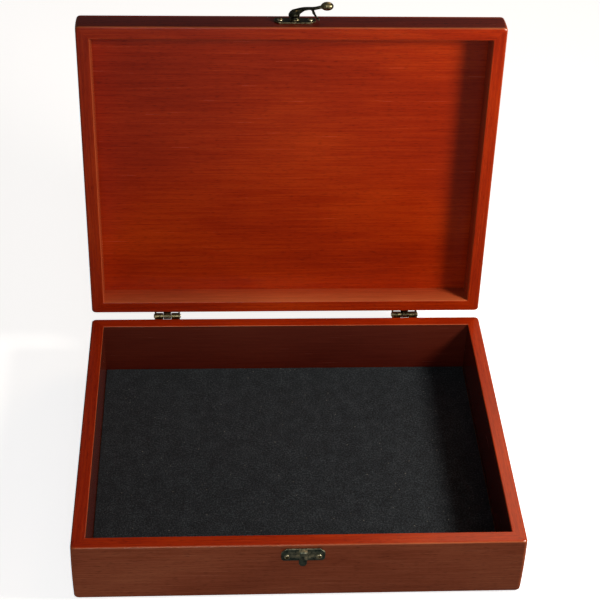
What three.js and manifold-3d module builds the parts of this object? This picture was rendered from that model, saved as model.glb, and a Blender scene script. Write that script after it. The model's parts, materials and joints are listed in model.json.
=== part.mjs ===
// Hinged wooden coin display box: a shallow base tray with a felt floor, a framed lid held
// open by two stop hinges, and a swinging ball-ended latch arm on the front.
// Millimetres, +Z up. The origin is the centre of the underside, +Y is the hinge side.

import * as THREE from 'three';
import { mergeVertices } from 'three/addons/utils/BufferGeometryUtils.js';
import Module from 'manifold-3d';

const manifoldLibrary = await Module();
manifoldLibrary.setup();

// ---- driving dimensions ----

const boxWidth = 301;
const boxDepth = 237;
const baseHeight = 49.3;
const lidHeight = 21.5;
const openAngle = THREE.MathUtils.degToRad(95);

const boardThickness = 9.9;
const faceBow = 0.5; // how far the middle of an outer face stands proud of its rim edge
const rimRadius = 1.2;
const innerRimRadius = 0.7;
const outerEdgeRadius = 2.8; // along the underside of the base and the top of the lid
const cornerRadius = 2.2; // of the upright corners
const seamGap = 0.3; // between two pieces that meet
const closedGap = 0.3; // between the two rims when the lid is shut

const floorThickness = 5;
const floorRebate = 4;
const feltThickness = 1.6;
const lidPanelThickness = 3;
const lidPanelRebate = 4.6;

const fittingThickness = 0.9; // sheet brass of the latch plate, the catch and the hinge leaves
const fittingStandOff = 0.1; // between a fitting and the wood under it
const fittingWidth = 29;
const fittingCentreX = 1.7;
const fittingScrewSpacing = 21.3;

const hingeSpacing = 184.6;
const hingeWidth = 19.5;
const hingeLeafLength = 14;
const hingeBarrelRadius = 2.45;
const hingePinRadius = 1.1;
const hingeBoreRadius = 1.2;
const hingeScrewSpacing = 11.5;
const hingeScrewFromRim = 9;

const screwHeadRadius = 2.05;
const screwHeadHeight = 1;
const screwShankRadius = 0.8;
const screwLength = 7;
const screwHoleRadius = 1.1;

const latchPivotFromRim = 10;
const latchPlateHeight = 9;
const catchTopFromRim = 2.8;
const catchPlateHeight = 10.6;
const catchScrewFromTop = 6.9;

const cutMargin = 1; // how far a cutting tool runs past the surface it cuts
const overlap = 1; // how far two joined shapes run into each other
const boreSides = 12;

// ---- places worked out from the dimensions ----

const faceX = boxWidth / 2;
const faceY = boxDepth / 2;
const insideX = faceX - boardThickness;
const insideY = faceY - boardThickness;
const lidRimZ = baseHeight + closedGap;
const lidTopZ = lidRimZ + lidHeight;
const hingeY = faceY + hingeBarrelRadius + fittingStandOff;
const hingeZ = baseHeight + closedGap / 2;
const fittingTop = fittingStandOff + fittingThickness;

// ---- materials ----

const finishes = {
  litWood: { color: 0x842003, roughness: 0.38, metalness: 0 },
  frontWood: { color: 0x602f1e, roughness: 0.4, metalness: 0 },
  panelWood: { color: 0x7c1d04, roughness: 0.42, metalness: 0 },
  plywood: { color: 0x8a5a3a, roughness: 0.8, metalness: 0 },
  felt: { color: 0x202123, roughness: 1, metalness: 0 },
  antiqueBrass: { color: 0x6f6444, roughness: 0.4, metalness: 1 },
  brightBrass: { color: 0xcfc08c, roughness: 0.3, metalness: 1 },
};

function namedMesh(name, geometry, finish) {
  const mesh = new THREE.Mesh(geometry, new THREE.MeshStandardMaterial(finishes[finish]));
  mesh.name = name;
  return mesh;
}

// ---- joining and cutting solids ----

function toSolid(geometry) {
  const bare = geometry.clone();
  bare.deleteAttribute('normal');
  bare.deleteAttribute('uv');
  const merged = mergeVertices(bare, 1e-4);
  const corners = merged.index.array;
  const kept = [];
  for (let i = 0; i < corners.length; i += 3) {
    const [a, b, c] = [corners[i], corners[i + 1], corners[i + 2]];
    if (a !== b && b !== c && c !== a) {
      kept.push(a, b, c);
    }
  }
  const mesh = new manifoldLibrary.Mesh({
    numProp: 3,
    vertProperties: new Float32Array(merged.attributes.position.array),
    triVerts: new Uint32Array(kept),
  });
  mesh.merge();
  return new manifoldLibrary.Manifold(mesh);
}

function toGeometry(solid) {
  const mesh = solid.getMesh();
  const geometry = new THREE.BufferGeometry();
  geometry.setAttribute('position', new THREE.BufferAttribute(mesh.vertProperties, 3));
  geometry.setIndex(new THREE.BufferAttribute(mesh.triVerts, 1));
  geometry.computeVertexNormals();
  return geometry;
}

function cut(geometry, tools) {
  let solid = toSolid(geometry);
  for (const tool of tools) {
    solid = solid.subtract(toSolid(tool));
  }
  return toGeometry(solid);
}

function join(geometries) {
  let solid = toSolid(geometries[0]);
  for (const geometry of geometries.slice(1)) {
    solid = solid.add(toSolid(geometry));
  }
  return toGeometry(solid);
}

// ---- shared shapes ----

// A flat plate: an outline in X and Y, raised along +Z from one height to another.
function plate(shape, from, to, curveSegments = 6) {
  const settings = { depth: to - from, bevelEnabled: false, curveSegments };
  return new THREE.ExtrudeGeometry(shape, settings).translate(0, 0, from);
}

// An outline drawn in Y and Z, run along X from one end to the other.
function barAlongX(shape, from, to, curveSegments = 6) {
  const turn = new THREE.Matrix4().makeBasis(
    new THREE.Vector3(0, 1, 0),
    new THREE.Vector3(0, 0, 1),
    new THREE.Vector3(1, 0, 0),
  );
  return plate(shape, from, to, curveSegments).applyMatrix4(turn);
}

function roundedRectangle(width, height, radius) {
  const [x, y] = [width / 2, height / 2];
  const shape = new THREE.Shape();
  shape.moveTo(-x + radius, -y);
  shape.lineTo(x - radius, -y);
  shape.absarc(x - radius, -y + radius, radius, -Math.PI / 2, 0);
  shape.lineTo(x, y - radius);
  shape.absarc(x - radius, y - radius, radius, 0, Math.PI / 2);
  shape.lineTo(-x + radius, y);
  shape.absarc(-x + radius, y - radius, radius, Math.PI / 2, Math.PI);
  shape.lineTo(-x, -y + radius);
  shape.absarc(-x + radius, -y + radius, radius, Math.PI, 1.5 * Math.PI);
  return shape;
}

// A round bar with its axis along Z.
function rod(radius, from, to, sides = 16) {
  const geometry = new THREE.CylinderGeometry(radius, radius, to - from, sides);
  return geometry.rotateX(Math.PI / 2).translate(0, 0, (from + to) / 2);
}

// ---- frame boards ----

// The outline of a board, seen from its end: x is outward from the inner face, y is up.
// rimUp says whether the opened edge of the frame is at the top (the base) or the bottom (the lid).
function boardOutline(height, rimUp, rebateWidth, rebateDepth) {
  const rimX = boardThickness - faceBow;
  const footX = boardThickness - faceBow * 0.4; // the face leans in a little less at its foot
  const bulge = new THREE.Vector2(boardThickness + faceBow * 0.6, height * 0.45);
  const shape = new THREE.Shape();
  shape.moveTo(0, height - innerRimRadius);
  shape.lineTo(0, rebateDepth);
  shape.lineTo(rebateWidth, rebateDepth);
  shape.lineTo(rebateWidth, 0);
  shape.lineTo(boardThickness - outerEdgeRadius, 0);
  shape.quadraticCurveTo(footX, 0, footX, outerEdgeRadius);
  shape.quadraticCurveTo(bulge.x, bulge.y, rimX, height - rimRadius);
  shape.quadraticCurveTo(rimX, height, rimX - rimRadius, height);
  shape.lineTo(innerRimRadius, height);
  shape.quadraticCurveTo(0, height, 0, height - innerRimRadius);
  if (rimUp) {
    return shape;
  }
  const curveSteps = 4;
  const flipped = shape.getPoints(curveSteps).map((point) => new THREE.Vector2(point.x, height - point.y));
  return new THREE.Shape(flipped.reverse());
}

// A board whose ends are mitred: local X points outward, Y runs along it and Z is up.
function mitredBoard(outline, insideHalfLength, insideOffset, holes) {
  const stripLength = 1;
  const curveSegments = 4;
  const settings = { depth: stripLength, bevelEnabled: false, curveSegments };
  const strip = new THREE.ExtrudeGeometry(outline, settings).rotateX(Math.PI / 2);
  const place = strip.attributes.position;
  for (let i = 0; i < place.count; i += 1) {
    const halfLength = insideHalfLength + place.getX(i) - seamGap / 2;
    const atNearEnd = place.getY(i) < -stripLength / 2;
    place.setY(i, atNearEnd ? -halfLength : halfLength);
  }
  const footprint = roundedRectangle(
    2 * (insideOffset + boardThickness),
    2 * (insideHalfLength + boardThickness),
    cornerRadius,
  );
  const envelope = plate(footprint, -cutMargin, baseHeight + lidHeight, curveSegments);
  envelope.translate(-insideOffset, 0, 0);
  const rounded = toSolid(strip).intersect(toSolid(envelope));
  return cut(toGeometry(rounded), holes.map(([along, up]) => pilotHole(along, up)));
}

// The hole that a wood screw bites into, sunk into a board from its outer face.
function pilotHole(along, up) {
  const spareDepth = 0.5;
  const bottom = boardThickness - screwLength - spareDepth;
  const bore = rod(screwHoleRadius, bottom, boardThickness + cutMargin, boreSides);
  return bore.rotateY(Math.PI / 2).translate(0, along, up);
}

// Four boards round an opening. Each hole is [distance along the board, height on the board].
function boardFrame(prefix, outline, baseZ, holes) {
  const sides = [
    { side: 'front', turn: -Math.PI / 2, half: insideX, offset: insideY, finish: 'frontWood' },
    { side: 'right', turn: 0, half: insideY, offset: insideX, finish: 'litWood' },
    { side: 'back', turn: Math.PI / 2, half: insideX, offset: insideY, finish: 'litWood' },
    { side: 'left', turn: Math.PI, half: insideY, offset: insideX, finish: 'litWood' },
  ];
  return sides.map(({ side, turn, half, offset, finish }) => {
    const geometry = mitredBoard(outline, half, offset, holes[side] ?? []);
    const board = namedMesh(`${prefix}_${side}_board`, geometry, finish);
    board.rotation.z = turn;
    board.position.set(offset * Math.cos(turn), offset * Math.sin(turn), baseZ);
    return board;
  });
}

function slab(name, width, depth, thickness, bottomZ, finish) {
  const mesh = namedMesh(name, new THREE.BoxGeometry(width, depth, thickness), finish);
  mesh.position.z = bottomZ + thickness / 2;
  return mesh;
}

// ---- screws ----

// A round-head cross-recess wood screw: the head sits on z = 0 and the shank points along -Z.
function screwGeometry() {
  const domeSteps = 4;
  const dome = [];
  for (let i = 0; i < domeSteps; i += 1) {
    const angle = (i / domeSteps) * (Math.PI / 2);
    dome.push(new THREE.Vector2(screwHeadRadius * Math.cos(angle), screwHeadHeight * Math.sin(angle)));
  }
  const pointLength = 1.6;
  const profile = [
    new THREE.Vector2(0, -screwLength),
    new THREE.Vector2(screwShankRadius, -screwLength + pointLength),
    new THREE.Vector2(screwShankRadius, 0),
    ...dome,
    new THREE.Vector2(0, screwHeadHeight),
  ];
  const sides = 14;
  const body = new THREE.LatheGeometry(profile, sides).rotateX(Math.PI / 2);
  const recess = { width: 0.5, length: 2.2, depth: 0.7 };
  const bladeHeight = recess.depth + cutMargin;
  const bladeZ = screwHeadHeight + (cutMargin - recess.depth) / 2;
  const blade = new THREE.BoxGeometry(recess.length, recess.width, bladeHeight).translate(0, 0, bladeZ);
  return cut(body, [blade, blade.clone().rotateZ(Math.PI / 2)]);
}

// Screws that hold a fitting whose outer surface is z = fittingTop, at each [x, y] place.
function screws(names, places) {
  const headClearance = 0.05;
  return names.map((name, i) => {
    const screw = namedMesh(name, screwGeometry(), 'brightBrass');
    screw.position.set(places[i][0], places[i][1], fittingTop + headClearance);
    return screw;
  });
}

// ---- front fittings, drawn on a face: X right, Y up, Z out of the wood ----

// A plate with its two far corners clipped and its two near corners rounded.
function fittingOutline(height, clippedEdgeUp) {
  const half = fittingWidth / 2;
  const clip = 3.2;
  const radius = 2.4;
  const points = new THREE.Shape();
  points.moveTo(-half + radius, 0);
  points.lineTo(half - radius, 0);
  points.absarc(half - radius, radius, radius, -Math.PI / 2, 0);
  points.lineTo(half, height - clip);
  points.lineTo(half - clip, height);
  points.lineTo(-half + clip, height);
  points.lineTo(-half, height - clip);
  points.absarc(-half + radius, radius, radius, Math.PI, 1.5 * Math.PI);
  if (clippedEdgeUp) {
    return points;
  }
  const curveSteps = 4;
  const flipped = points.getPoints(curveSteps).map((point) => new THREE.Vector2(point.x, height - point.y));
  return new THREE.Shape(flipped.reverse());
}

// A bar that cuts a round hole through a fitting at [x, y].
function fittingBore(radius, x, y, sides = boreSides) {
  return rod(radius, -cutMargin, fittingTop + cutMargin, sides).translate(x, y, 0);
}

function fittingScrewHoles(y) {
  return [-1, 1].map((sign) => fittingBore(screwHoleRadius, sign * fittingScrewSpacing / 2, y));
}

// The keeper is a strip pressed out of the plate, open to both sides for the arm's claw.
// Its Y places are measured from the plate's upper edge and its Z places out of the wood.
const keeper = {
  width: 5.6,
  top: -0.3,
  bottom: -7.4,
  windowTop: -1.2,
  windowBottom: -6.5,
  inside: 2.95,
  outside: 3.8,
};

function keeperStrip() {
  const strip = new THREE.Shape();
  const slope = 0.5;
  strip.moveTo(fittingStandOff, keeper.top);
  strip.lineTo(fittingStandOff, keeper.bottom);
  strip.lineTo(fittingTop, keeper.bottom);
  strip.lineTo(keeper.outside, keeper.bottom + slope);
  strip.lineTo(keeper.outside, keeper.top - slope);
  strip.lineTo(fittingTop, keeper.top);
  const window = new THREE.Path();
  window.moveTo(fittingTop, keeper.windowTop);
  window.lineTo(keeper.inside, keeper.windowTop - slope / 2);
  window.lineTo(keeper.inside, keeper.windowBottom + slope / 2);
  window.lineTo(fittingTop, keeper.windowBottom);
  strip.holes.push(window);
  const bar = plate(strip, -keeper.width / 2, keeper.width / 2);
  const turn = new THREE.Matrix4().makeBasis(
    new THREE.Vector3(0, 0, 1),
    new THREE.Vector3(0, 1, 0),
    new THREE.Vector3(-1, 0, 0),
  );
  return bar.applyMatrix4(turn);
}

// Y = 0 is the plate's upper edge. A rounded tongue hangs below it.
function catchPlate() {
  const body = plate(fittingOutline(catchPlateHeight, true), fittingStandOff, fittingTop);
  body.translate(0, -catchPlateHeight, 0);
  const tongueRadius = keeper.width / 2;
  const tongueLength = 5.6;
  const roundY = -catchPlateHeight - tongueLength + tongueRadius;
  const tongue = new THREE.Shape();
  tongue.moveTo(tongueRadius, -catchPlateHeight + overlap);
  tongue.lineTo(-tongueRadius, -catchPlateHeight + overlap);
  tongue.lineTo(-tongueRadius, roundY);
  tongue.absarc(0, roundY, tongueRadius, Math.PI, 2 * Math.PI);
  const whole = join([body, plate(tongue, fittingStandOff, fittingTop), keeperStrip()]);
  return namedMesh('catch_plate', cut(whole, fittingScrewHoles(-catchScrewFromTop)), 'antiqueBrass');
}

// Y = 0 is the plate's lower edge, nearest the rim.
function latchPlate() {
  const outline = fittingOutline(latchPlateHeight, false);
  const body = plate(outline, fittingStandOff, fittingTop).translate(0, -latchPlateHeight / 2, 0);
  const rivetHole = fittingBore(rivet.shankRadius + rivet.holeClearance, 0, 0, rivet.sides);
  return namedMesh('latch_plate', cut(body, [rivetHole, ...fittingScrewHoles(0)]), 'antiqueBrass');
}

// The rivet holds the arm to the latch plate: a domed head above the arm's boss, and a shank
// that passes through the boss and the plate into the board.
const rivet = {
  headRadius: 2.3,
  headHeight: 1.1,
  headSeat: 7.1,
  shankRadius: 0.95,
  holeClearance: 0.1,
  footDepth: 2,
  sides: 16,
};

function latchRivet() {
  const crownStart = new THREE.Vector2(rivet.headRadius * 0.8, rivet.headSeat + rivet.headHeight * 0.6);
  const crownEnd = new THREE.Vector2(rivet.headRadius * 0.4, rivet.headSeat + rivet.headHeight * 0.95);
  const profile = [
    new THREE.Vector2(0, -rivet.footDepth),
    new THREE.Vector2(rivet.shankRadius, -rivet.footDepth),
    new THREE.Vector2(rivet.shankRadius, rivet.headSeat),
    new THREE.Vector2(rivet.headRadius, rivet.headSeat),
    crownStart,
    crownEnd,
    new THREE.Vector2(0, rivet.headSeat + rivet.headHeight),
  ];
  const turned = new THREE.LatheGeometry(profile, rivet.sides).rotateX(Math.PI / 2);
  return namedMesh('latch_rivet', turned, 'antiqueBrass');
}

// ---- latch arm: X runs along the arm from its pivot, Y across it, Z out of the wood ----

const arm = {
  width: 2.8,
  height: 9.3,
  ballX: 22.3,
  ballZ: 11.4,
  ballRadii: [4.4, 3.1, 3.1],
};
const boss = {
  footRadius: 4.5,
  footHeight: 0.8,
  waistRadius: 3,
  waistHeight: 3.6,
  topRadius: 2.7,
  boreClearance: 0.15,
  headGap: 0.2, // under the rivet's head
};
const claw = {
  radius: 16.4, // from the pivot to the middle of the claw
  reach: 2.6,
  halfWidth: 0.7,
  thickness: 1,
  standOff: 0.5, // above the fittings
};

// The boss is a turned cone that flares out at its foot.
function armBoss() {
  const bottom = fittingTop + seamGap;
  const top = rivet.headSeat - boss.headGap;
  const boreRadius = rivet.shankRadius + boss.boreClearance;
  const flareRadius = (boss.footRadius + boss.waistRadius) / 2;
  const flareHeight = (boss.footHeight + boss.waistHeight) / 2;
  const profile = [
    new THREE.Vector2(boreRadius, bottom),
    new THREE.Vector2(boss.footRadius, bottom),
    new THREE.Vector2(boss.footRadius, bottom + boss.footHeight),
    new THREE.Vector2(flareRadius, bottom + flareHeight),
    new THREE.Vector2(boss.waistRadius, bottom + boss.waistHeight),
    new THREE.Vector2(boss.topRadius, top),
    new THREE.Vector2(boreRadius, top),
    new THREE.Vector2(boreRadius, bottom),
  ];
  const sides = 24;
  return new THREE.LatheGeometry(profile, sides).rotateX(Math.PI / 2);
}

// The strap leaves the boss's side, arches away from the face and rises to the ball.
// Each station is [distance from the pivot, height of the strap's middle].
function armStrap() {
  const halfThickness = 0.7;
  const root = 2;
  const stations = [[8, arm.height], [13, arm.height], [17, arm.height + 0.8]];
  const under = stations.map(([x, z]) => new THREE.Vector2(x, z - halfThickness));
  const over = stations.map(([x, z]) => new THREE.Vector2(x, z + halfThickness));
  const strap = new THREE.Shape();
  strap.moveTo(root, 4);
  strap.splineThru([
    new THREE.Vector2(4.6, arm.height - 1.7),
    ...under,
    new THREE.Vector2(arm.ballX, arm.ballZ - halfThickness),
  ]);
  strap.lineTo(arm.ballX, arm.ballZ + halfThickness);
  strap.splineThru([
    ...over.reverse(),
    new THREE.Vector2(4.2, arm.height - 0.5),
    new THREE.Vector2(root, rivet.headSeat - 0.4),
  ]);
  return plate(strap, -arm.width / 2, arm.width / 2, 4).rotateX(Math.PI / 2);
}

// The tooth comes back towards the face, and its claw points the way the arm swings shut.
function armTooth() {
  const tip = fittingTop + claw.standOff;
  const root = { from: 12.4, to: 14.6 };
  const outerX = claw.radius + claw.halfWidth;
  const tooth = new THREE.Shape();
  tooth.moveTo(root.from, arm.height);
  tooth.lineTo(claw.radius - claw.halfWidth, tip);
  tooth.lineTo(outerX, tip);
  tooth.lineTo(outerX, tip + claw.thickness);
  tooth.lineTo(root.to, arm.height);
  const toothHalf = 0.8;
  const stem = plate(tooth, -toothHalf, toothHalf).rotateX(Math.PI / 2);
  const clawLength = claw.reach + toothHalf;
  const finger = new THREE.BoxGeometry(2 * claw.halfWidth, clawLength, claw.thickness);
  finger.translate(claw.radius, -clawLength / 2, tip + claw.thickness / 2);
  return [stem, finger];
}

function latchArm() {
  const ball = new THREE.SphereGeometry(1, 20, 14);
  ball.scale(...arm.ballRadii).translate(arm.ballX, 0, arm.ballZ);
  const spaceRadius = rivet.headRadius + seamGap;
  const spaceTop = rivet.headSeat + rivet.headHeight + 2;
  const rivetSpace = rod(spaceRadius, rivet.headSeat - boss.headGap, spaceTop, 20);
  const shape = cut(join([armBoss(), armStrap(), ball, ...armTooth()]), [rivetSpace]);
  return namedMesh('latch_lever', shape, 'antiqueBrass');
}

// ---- hinges: the section is drawn in Y and Z with the pin's axis at the origin ----

// A leaf that hangs down from the barrel. The leaf lies against the wood at y = -hingeBarrelRadius.
function leafStrip(from, to, top, bottom) {
  const strip = new THREE.Shape();
  strip.moveTo(-hingeBarrelRadius, bottom);
  strip.lineTo(-hingeBarrelRadius + fittingThickness, bottom);
  strip.lineTo(-hingeBarrelRadius + fittingThickness, top);
  strip.lineTo(-hingeBarrelRadius, top);
  return barAlongX(strip, from, to);
}

const knuckles = {
  outer: hingeWidth / 2,
  inset: 0.1, // of the outer knuckles behind the ears
  middleHalf: 2.9,
  sideGap: 0.3,
  clearance: 0.5, // between a leaf and the other leaf's knuckles
};
const stop = {
  width: 1.3,
  reach: 3.75, // how far the shelf stands behind the pin's axis
  root: 2.9,
  top: 1.13,
  bottom: -0.6,
};

function knuckle(from, to) {
  return rod(hingeBarrelRadius, from, to, 24).rotateY(Math.PI / 2);
}

// The ear at each end of the base leaf is round where the lid leaf swings past. Behind the pin
// it has a shelf, and the end of the lid leaf comes down on it when the lid is fully open.
function stopEar(from, to) {
  const roundRadius = hingeBarrelRadius - 0.15;
  const footZ = -hingeBarrelRadius - knuckles.clearance - overlap;
  const ear = new THREE.Shape();
  ear.moveTo(-hingeBarrelRadius, footZ);
  ear.lineTo(-hingeBarrelRadius + fittingThickness, footZ);
  ear.lineTo(0, -hingeBarrelRadius);
  ear.lineTo(stop.reach, stop.bottom);
  ear.lineTo(stop.reach, stop.top);
  ear.lineTo(stop.root, stop.top);
  ear.lineTo(0, roundRadius);
  ear.absarc(0, 0, roundRadius, Math.PI / 2, Math.PI);
  return barAlongX(ear, from, to, 8);
}

function hingeBore() {
  return rod(hingeBoreRadius, -hingeWidth, hingeWidth, 24).rotateY(Math.PI / 2);
}

function leafScrewHoles(z) {
  const reach = hingeBarrelRadius + cutMargin;
  return [-1, 1].map((sign) => {
    const bore = rod(screwHoleRadius, -reach, reach, boreSides).rotateX(Math.PI / 2);
    return bore.translate(sign * hingeScrewSpacing / 2, 0, z);
  });
}

// The fixed leaf has two knuckles and an ear outside each of them.
function baseLeaf(name) {
  const { outer, inset, middleHalf, sideGap, clearance } = knuckles;
  const leafTop = -hingeBarrelRadius - clearance;
  const pieces = [leafStrip(-outer, outer, leafTop, -hingeLeafLength)];
  for (const sign of [-1, 1]) {
    const barrel = [sign * (middleHalf + sideGap), sign * (outer - inset)].sort((a, b) => a - b);
    pieces.push(knuckle(...barrel), leafStrip(...barrel, 0, leafTop - overlap));
    const ear = [sign * outer, sign * (outer - stop.width)].sort((a, b) => a - b);
    pieces.push(stopEar(...ear));
  }
  const screwHoles = leafScrewHoles(-hingeScrewFromRim);
  return namedMesh(name, cut(join(pieces), [hingeBore(), ...screwHoles]), 'antiqueBrass');
}

// The moving leaf has the middle knuckle and stays clear of the ears and the fixed knuckles.
function lidLeaf(name) {
  const { outer, middleHalf, clearance } = knuckles;
  const leafBottom = hingeBarrelRadius + clearance;
  const pieces = [
    leafStrip(-outer, outer, hingeLeafLength, leafBottom),
    leafStrip(-middleHalf, middleHalf, leafBottom + overlap, 0),
    knuckle(-middleHalf, middleHalf),
  ];
  const screwHoles = leafScrewHoles(hingeScrewFromRim);
  return namedMesh(name, cut(join(pieces), [hingeBore(), ...screwHoles]), 'antiqueBrass');
}

// A pin with a small head outside each end of the barrel.
function hingePin(name) {
  const half = hingeWidth / 2;
  const head = { gap: 0.1, thickness: 0.5, growth: 0.5 };
  const shaftHalf = half + head.gap + head.thickness / 2;
  const shaft = rod(hingePinRadius, -shaftHalf, shaftHalf, 24);
  const heads = [-1, 1].map((sign) => {
    const inner = sign * (half + head.gap);
    const ends = [inner, inner + sign * head.thickness].sort((a, b) => a - b);
    return rod(hingePinRadius + head.growth, ...ends, 24);
  });
  return namedMesh(name, join([shaft, ...heads]).rotateY(Math.PI / 2), 'antiqueBrass');
}

// A group on a hinge's pin axis, with everything of one leaf in it.
function hingeHalf(side, x, leaf, extras, screwZ, owner) {
  const group = new THREE.Group();
  group.position.set(x, hingeY, hingeZ);
  const face = new THREE.Group();
  face.position.set(0, faceY - hingeY, screwZ);
  face.rotation.set(-Math.PI / 2, 0, 0);
  const places = [[-hingeScrewSpacing / 2, 0], [hingeScrewSpacing / 2, 0]];
  face.add(...screws([`${owner}_hinge_screw_${side}_1`, `${owner}_hinge_screw_${side}_2`], places));
  group.add(leaf, face, ...extras);
  return group;
}

const hingePlaces = [
  { side: 'left', x: -hingeSpacing / 2 },
  { side: 'right', x: hingeSpacing / 2 },
];

// ---- assemblies ----

// A group whose X is right, Y is up and Z points out of the front face.
function frontFace(z) {
  const group = new THREE.Group();
  group.position.set(fittingCentreX, -faceY, z);
  group.rotation.x = Math.PI / 2;
  return group;
}

const frontScrewPlaces = (y) => [[-fittingScrewSpacing / 2, y], [fittingScrewSpacing / 2, y]];

function pilotPlaces(centres, spacing, up) {
  return centres.flatMap((centre) => [[centre - spacing / 2, up], [centre + spacing / 2, up]]);
}

function makeBase() {
  const base = new THREE.Group();
  const rebateDepth = floorThickness + seamGap;
  const outline = boardOutline(baseHeight, true, floorRebate, rebateDepth);
  const catchScrewZ = baseHeight - catchTopFromRim - catchScrewFromTop;
  const hingeCentres = hingePlaces.map(({ x }) => x);
  base.add(...boardFrame('base', outline, 0, {
    front: pilotPlaces([fittingCentreX], fittingScrewSpacing, catchScrewZ),
    back: pilotPlaces(hingeCentres, hingeScrewSpacing, hingeZ - hingeScrewFromRim),
  }));

  const floorGrow = 2 * (floorRebate - seamGap);
  const floorSize = [2 * insideX + floorGrow, 2 * insideY + floorGrow];
  base.add(slab('base_floor', ...floorSize, floorThickness, 0, 'plywood'));
  const feltSize = [2 * (insideX - seamGap), 2 * (insideY - seamGap)];
  base.add(slab('floor_felt', ...feltSize, feltThickness, floorThickness + 0.1, 'felt'));

  const front = frontFace(baseHeight - catchTopFromRim);
  const catchScrewNames = ['catch_screw_left', 'catch_screw_right'];
  front.add(catchPlate(), ...screws(catchScrewNames, frontScrewPlaces(-catchScrewFromTop)));
  base.add(front);

  for (const { side, x } of hingePlaces) {
    const pin = hingePin(`hinge_pin_${side}`);
    const leaf = baseLeaf(`base_hinge_leaf_${side}`);
    base.add(hingeHalf(side, x, leaf, [pin], -hingeScrewFromRim, 'base'));
  }
  return base;
}

function makeLid() {
  const closed = new THREE.Group();
  const rebateDepth = lidPanelThickness + seamGap;
  const outline = boardOutline(lidHeight, false, lidPanelRebate, rebateDepth);
  const hingeCentres = hingePlaces.map(({ x }) => x);
  const frontHoles = pilotPlaces([fittingCentreX], fittingScrewSpacing, latchPivotFromRim);
  frontHoles.push([fittingCentreX, latchPivotFromRim]);
  closed.add(...boardFrame('lid', outline, lidRimZ, {
    front: frontHoles,
    back: pilotPlaces(hingeCentres, hingeScrewSpacing, hingeZ + hingeScrewFromRim - lidRimZ),
  }));

  const panelGrow = 2 * (lidPanelRebate - seamGap);
  const panelSize = [2 * insideX + panelGrow, 2 * insideY + panelGrow];
  const panelZ = lidTopZ - lidPanelThickness;
  closed.add(slab('lid_panel', ...panelSize, lidPanelThickness, panelZ, 'panelWood'));

  const front = frontFace(lidRimZ + latchPivotFromRim);
  const latchScrewNames = ['latch_screw_left', 'latch_screw_right'];
  front.add(latchPlate(), latchRivet(), latchArm(), ...screws(latchScrewNames, frontScrewPlaces(0)));
  closed.add(front);

  for (const { side, x } of hingePlaces) {
    closed.add(hingeHalf(side, x, lidLeaf(`lid_hinge_leaf_${side}`), [], hingeScrewFromRim, 'lid'));
  }

  closed.position.set(0, -hingeY, -hingeZ);
  const lid = new THREE.Group();
  lid.add(closed);
  lid.position.set(0, hingeY, hingeZ);
  lid.rotation.x = -openAngle;
  return lid;
}

const box = new THREE.Group();
box.add(makeBase(), makeLid());

export default box;
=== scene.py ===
import json
import math

import bpy
from mathutils import Matrix, Vector, noise


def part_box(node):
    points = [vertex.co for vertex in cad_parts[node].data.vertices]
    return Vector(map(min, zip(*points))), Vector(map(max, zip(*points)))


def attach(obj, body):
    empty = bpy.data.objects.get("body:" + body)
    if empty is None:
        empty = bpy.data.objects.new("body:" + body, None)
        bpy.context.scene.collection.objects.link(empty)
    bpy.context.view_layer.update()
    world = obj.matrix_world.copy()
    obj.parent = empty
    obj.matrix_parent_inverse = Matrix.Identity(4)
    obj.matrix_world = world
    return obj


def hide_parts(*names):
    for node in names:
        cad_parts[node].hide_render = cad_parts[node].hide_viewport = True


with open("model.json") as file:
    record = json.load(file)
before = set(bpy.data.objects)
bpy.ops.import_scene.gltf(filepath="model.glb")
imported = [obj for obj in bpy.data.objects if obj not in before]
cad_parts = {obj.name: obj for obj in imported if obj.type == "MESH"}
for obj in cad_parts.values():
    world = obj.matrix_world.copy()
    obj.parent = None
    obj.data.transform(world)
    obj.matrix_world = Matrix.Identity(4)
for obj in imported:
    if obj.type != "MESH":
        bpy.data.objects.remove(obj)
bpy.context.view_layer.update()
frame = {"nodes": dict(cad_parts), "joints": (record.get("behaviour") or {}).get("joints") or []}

mm = 0.001
tiny = 0.02 * mm  # two places closer than this are the same place


# Working tools

def linear(hexColour):  # an sRGB hex colour as linear red, green, blue and alpha
    channels = [int(hexColour[i:i + 2], 16) / 255 for i in (0, 2, 4)]
    return [c / 12.92 if c <= 0.04045 else ((c + 0.055) / 1.055) ** 2.4 for c in channels] + [1.0]


def onlyThis(piece):  # selects one object and makes it the active one
    if bpy.context.object and bpy.context.object.mode != "OBJECT":
        bpy.ops.object.mode_set(mode="OBJECT")
    bpy.ops.object.select_all(action="DESELECT")
    piece.select_set(True)
    bpy.context.view_layer.objects.active = piece


def newest(name, scale=(1, 1, 1)):  # names and sizes what a primitive operator has just added
    piece = bpy.context.object
    piece.name = piece.data.name = name
    piece.scale = scale
    onlyThis(piece)
    bpy.ops.object.transform_apply(location=True, rotation=True, scale=True)
    return piece


def middleOf(low, high):
    return (low + high) / 2


def block(name, low, high):  # a box between two corners, ready to be shaped
    low, high = Vector(low), Vector(high)
    bpy.ops.mesh.primitive_cube_add(size=1, location=middleOf(low, high))
    return newest(name, high - low)


def rod(name, radius, start, end, sides=32):  # a round bar from one point to another
    start, end = Vector(start), Vector(end)
    turn = (end - start).to_track_quat("Z", "Y").to_euler()
    bpy.ops.mesh.primitive_cylinder_add(
        radius=radius, depth=(end - start).length, vertices=sides,
        location=middleOf(start, end), rotation=turn)
    return newest(name)


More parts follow.
